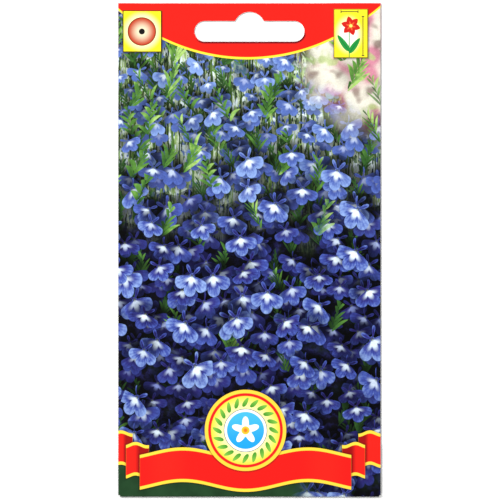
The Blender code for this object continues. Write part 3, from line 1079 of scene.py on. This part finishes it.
# %% Finishes of the inner pieces
UNSEALED_HALF = (20.0, 24.5)
UNSEALED_MIDDLE = -27.2


def dried_glue():
    paint, shader, place = new_paint("dried_glue")
    streaks = noise(place, 0.8, 4.0, 0.6)
    amber = lay_over(streaks, linear(196, 160, 92), linear(236, 214, 160))
    plug_surface(shader, amber, 0.35 + 0.3 * streaks, bump(streaks, 0.4, 0.05 * MM))
    return paint


def seed_grains():
    paint, shader, place = new_paint("seed_grains")
    grain = {"Vector": place, "Scale": 2.6, "Randomness": 1.0}
    colour = place.node("ShaderNodeTexVoronoi", None, grain, 1)
    shade = colour.node("ShaderNodeSeparateColor", None, {0: colour})
    dome = Ink(colour.socket.node.outputs[0])
    brown = lay_over(shade, linear(52, 32, 18), linear(142, 98, 58))
    plug_surface(shader, brown, 0.5 + 0.3 * shade, bump(1.0 - dome, 0.8, 0.2 * MM))
    return paint


def film_or_leaf(name, dark, light, rough):
    paint, shader, place = new_paint(name)
    x, y = split(place)
    rib = 0.5 + 0.5 * alone("SINE", y * 5.2)
    edge = larger(abs(x) - UNSEALED_HALF[0], abs(y - UNSEALED_MIDDLE) - UNSEALED_HALF[1])
    seal = inside(edge, 0.4)
    cloud = noise(place, 0.4, 3.0)
    colour = lay_over(cloud * (1.0 - 0.5 * seal * rib), linear(*dark), linear(*light))
    relief = bump(cloud * 0.4 + seal * rib, 0.5, 0.06 * MM)
    plug_surface(shader, colour, rough + 0.15 * cloud, relief)
    return paint


GLUE = dried_glue()
for name in ("seam_glue", "bottom_flap_glue", "mouth_glue"):
    solid = bpy.data.objects[name]
    solid.data.materials.clear()
    solid.data.materials.append(GLUE)
print("glue finished on three strips")

# %% [markdown]
# ## The sachet
# Fine seed would slip out at a packet's folds, so it lies in a sachet of its own: a paper leaf
# behind and a film leaf in front, pressed together at the rim by a ribbed hot bar. Both leaves
# are one grid, raised by the same ribs, and the film is lifted over the seed with a few soft
# creases.

# %% Two leaves with a crimped rim
FILM = 0.08 * MM
CLEARANCE = 0.02 * MM
SACHET_HALF = (24 * MM, 29 * MM)
SACHET_MIDDLE = -HALF_HEIGHT + 48 * MM
RIB_HEIGHT = 0.025 * MM
RIB_PITCH = 1.3 * MM
FREE_LIFT = 0.18 * MM
SEED_LIFT = 0.83 * MM
LIFT_HALF = (20 * MM, 15.2 * MM)


def crimp(x, y):
    """Height of the ribs on the pressed rim, and how far a point is inside it, from 0 to 1."""
    inset_x, inset_y = SACHET_HALF[0] - abs(x), SACHET_HALF[1] - abs(y - SACHET_MIDDLE)
    free = s_curve(3 * MM, 11 * MM, inset_x) * s_curve(3 * MM, 11 * MM, inset_y)
    rim = 1 - s_curve(4.4 * MM, 5 * MM, np.minimum(inset_x, inset_y))
    across_rim = np.where(inset_x < inset_y, x, y)
    return RIB_HEIGHT * rim * (1 + np.sin(across_rim * math.tau / RIB_PITCH)), free


def paper_leaf_level(x, y):
    return PAPER + over_flap(y) + CLEARANCE + FILM / 2 + crimp(x, y)[0]


def film_leaf_level(x, y):
    free = crimp(x, y)[1]
    across, along = x / LIFT_HALF[0], (y - SEED_MIDDLE) / LIFT_HALF[1]
    heap = np.clip(1 - across**2 - along**2, 0, 1) ** 0.6
    winding = x / (2.3 * MM) + 1.8 * np.sin(y / (6.1 * MM))
    crease = 0.03 * MM * np.sin(winding) * np.sin(y / (8.7 * MM))
    lift = free * (FREE_LIFT + SEED_LIFT * heap + crease)
    return paper_leaf_level(x, y) + FILM + 2 * CLEARANCE + lift


def make_leaf(name, level, node, paint):
    grid = {"x_subdivisions": 150, "y_subdivisions": 180, "size": 2}
    leaf = add_shape(bpy.ops.mesh.primitive_grid_add, **grid)
    leaf.name = name
    flat_points = coordinates(leaf)
    x, y = (flat_points[:, :2] * SACHET_HALF + (0, SACHET_MIDDLE)).T
    place_points(leaf, np.column_stack([x, y, level(x, y)]))
    wall = leaf.modifiers.new("wall", "SOLIDIFY")
    wall.thickness = 0.9 * FILM
    wall.offset = 0
    apply_all(leaf)
    bpy.ops.object.shade_smooth_by_angle(angle=math.radians(40))
    leaf.data.materials.append(paint)
    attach(leaf, "root")
    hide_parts(node)
    deep = np.ptp(coordinates(leaf)[:, 2]) / MM
    print(f"{name}: {len(leaf.data.polygons)} faces, {deep:.2f} mm deep")


paper_paint = film_or_leaf("sachet_leaf", (206, 206, 198), (240, 240, 234), 0.55)
film_paint = film_or_leaf("sachet_film", (176, 182, 188), (226, 230, 234), 0.22)
make_leaf("sachet_paper_leaf", paper_leaf_level, "sachet_back", paper_paint)
make_leaf("sachet_film_leaf", film_leaf_level, "sachet_front", film_paint)

# %% [markdown]
# ## The seed
# The seed of such a plant is as fine as dust, and here each grain is a little larger than life.
# One grain is modelled, then copied, each copy turned and sized by seeded chance. The grains fill
# a low heap, most of them near its surface.

# %% Strew the grains
GRAIN_HALF = (0.30 * MM, 0.19 * MM, 0.16 * MM)
HEAP_HALF = (12.2 * MM, 7.7 * MM)
HEAP_DEPTH = 0.44 * MM
HEAP_FLOOR = PAPER + FILM + 0.05 * MM
GRAINS = 1800
CHANCE_SEED = 7
TAPER = 0.35


def one_grain():
    """A pointed oval grain of 20 triangles, and the triangles' corners."""
    grain = add_shape(bpy.ops.mesh.primitive_ico_sphere_add, subdivisions=1, radius=1)
    shape = coordinates(grain) * GRAIN_HALF
    shape[:, 1:] *= 1 - TAPER * shape[:, :1] / GRAIN_HALF[0]
    faces = np.array([list(face.vertices) for face in grain.data.polygons])
    bpy.data.objects.remove(grain)
    return shape, faces


def turn_each(first, second, angles):
    """Turns each grain's points in the plane of two axes by its own angle."""
    cos, sin = np.cos(angles)[:, None], np.sin(angles)[:, None]
    return first * cos - second * sin, first * sin + second * cos


def heap_of_grains(count):
    chance = np.random.default_rng(CHANCE_SEED)
    shape, faces = one_grain()
    reach, around = np.sqrt(chance.random(count)) * 0.94, chance.random(count) * math.tau
    middle_x = HEAP_HALF[0] * reach * np.cos(around)
    middle_y = SEED_MIDDLE + HEAP_HALF[1] * reach * np.sin(around)
    depth = HEAP_DEPTH * np.sqrt(1 - reach**2) * np.sqrt(chance.random(count))
    turn = chance.random(count) * math.tau
    tilt = chance.normal(0, 0.3, count)
    size = chance.uniform(0.7, 1.15, count)
    x, y, z = (shape[None, :, k] * size[:, None] for k in range(3))
    x, z = turn_each(x, z, tilt)
    x, y = turn_each(x, y, turn)
    z = z - z.min(axis=1, keepdims=True) + (HEAP_FLOOR + depth)[:, None]
    points = np.stack([x + middle_x[:, None], y + middle_y[:, None], z], axis=2).reshape(-1, 3)
    corners = (faces[None] + (np.arange(count) * len(shape))[:, None, None]).reshape(-1, 3)
    return points, corners


points, corners = heap_of_grains(GRAINS)
grain_mesh = bpy.data.meshes.new("seed_grains")
grain_mesh.from_pydata(points.tolist(), [], corners.tolist())
grain_mesh.shade_smooth()
grains = bpy.data.objects.new("seed_grains", grain_mesh)
bpy.context.scene.collection.objects.link(grains)
grains.data.materials.append(seed_grains())
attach(grains, "root")
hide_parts("seed_bed")
print(f"{GRAINS} grains, {len(corners)} triangles, top at {points[:, 2].max() / MM:.2f} mm")

# %% [markdown]
# ## Floor
# The photo is a flat scan on a white ground. A plain pale floor stands in for it, and takes the
# thin shadow at the packet's right and lower edges.

# %% Floor
floor = add_shape(bpy.ops.mesh.primitive_grid_add, x_subdivisions=8, y_subdivisions=8, size=3)
floor.name = "floor"
paint, shader, place = new_paint("studio_floor")
plug(lay_over(noise(place, 0.01, 2.0), (0.79, 0.79, 0.79), (0.81, 0.81, 0.81)), shader, "Base Color")
shader.inputs["Roughness"].default_value = 0.9
shader.inputs["Specular IOR Level"].default_value = 0.1
floor.data.materials.append(paint)
print(f"floor of {len(floor.data.polygons)} faces")

# %% [markdown]
# ## Light
# A scan has even light. Four soft lights stand round the packet, about halfway up the sky, so
# none is mirrored in the glossy paper when seen from above. The one at the upper left is
# strongest. The sky looks nearly white to the camera, but it lights the packet only weakly, so
# that the colours stay deep.

# %% Lights
SKY_SEEN = 0.9
SKY_LIGHT = 0.12


def soft_light(name, place, size, power):
    light = bpy.data.lights.new(name, "AREA")
    light.shape = "DISK"
    light.size = size
    light.energy = power
    lamp = bpy.data.objects.new(name, light)
    bpy.context.scene.collection.objects.link(lamp)
    lamp.location = place
    aim = -lamp.location
    lamp.rotation_euler = aim.to_track_quat("-Z", "Y").to_euler()


soft_light("key_upper_left", (-0.6, 0.58, 0.88), 0.35, 15.0)
soft_light("fill_upper_right", (0.62, 0.58, 0.88), 0.6, 5.2)
soft_light("fill_lower_left", (-0.62, -0.58, 0.88), 0.6, 5.2)
soft_light("fill_lower_right", (0.62, -0.62, 0.88), 0.6, 2.4)
world = bpy.data.worlds.new("studio_air")
world.use_nodes = True
air = world.node_tree
dim = air.nodes["Background"]
dim.inputs["Color"].default_value = (1, 1, 1, 1)
dim.inputs["Strength"].default_value = SKY_LIGHT
pale = add_node(air, "ShaderNodeBackground", None, {"Color": (1, 1, 1, 1), "Strength": SKY_SEEN})
seen = add_node(air, "ShaderNodeLightPath")
blend = add_node(air, "ShaderNodeMixShader", None, {0: seen, 1: Ink(dim.outputs[0]), 2: pale})
air.links.new(blend.socket, air.nodes["World Output"].inputs["Surface"])
bpy.context.scene.world = world
bpy.context.scene.view_settings.view_transform = "Standard"
print(f"{len(bpy.data.lights)} lights, {sum(light.energy for light in bpy.data.lights):.1f} W")

# %% [markdown]
# ## Camera
# A scanner looks straight down everywhere. A long lens from half a metre up comes close to that,
# and its distance follows from the width that the picture shows.

# %% Camera
LENS = 120
SENSOR = 36
PICTURE_WIDTH = 152.6 * MM
view = bpy.data.cameras.new("straight_down")
view.lens = LENS
view.sensor_width = SENSOR
camera = bpy.data.objects.new("straight_down", view)
bpy.context.scene.collection.objects.link(camera)
camera.location = (0.17 * MM, -0.03 * MM, PICTURE_WIDTH * LENS / SENSOR)
view.clip_start = 0.01
view.clip_end = 10
bpy.context.scene.camera = camera
print(f"camera {camera.location.z:.2f} m above the floor")
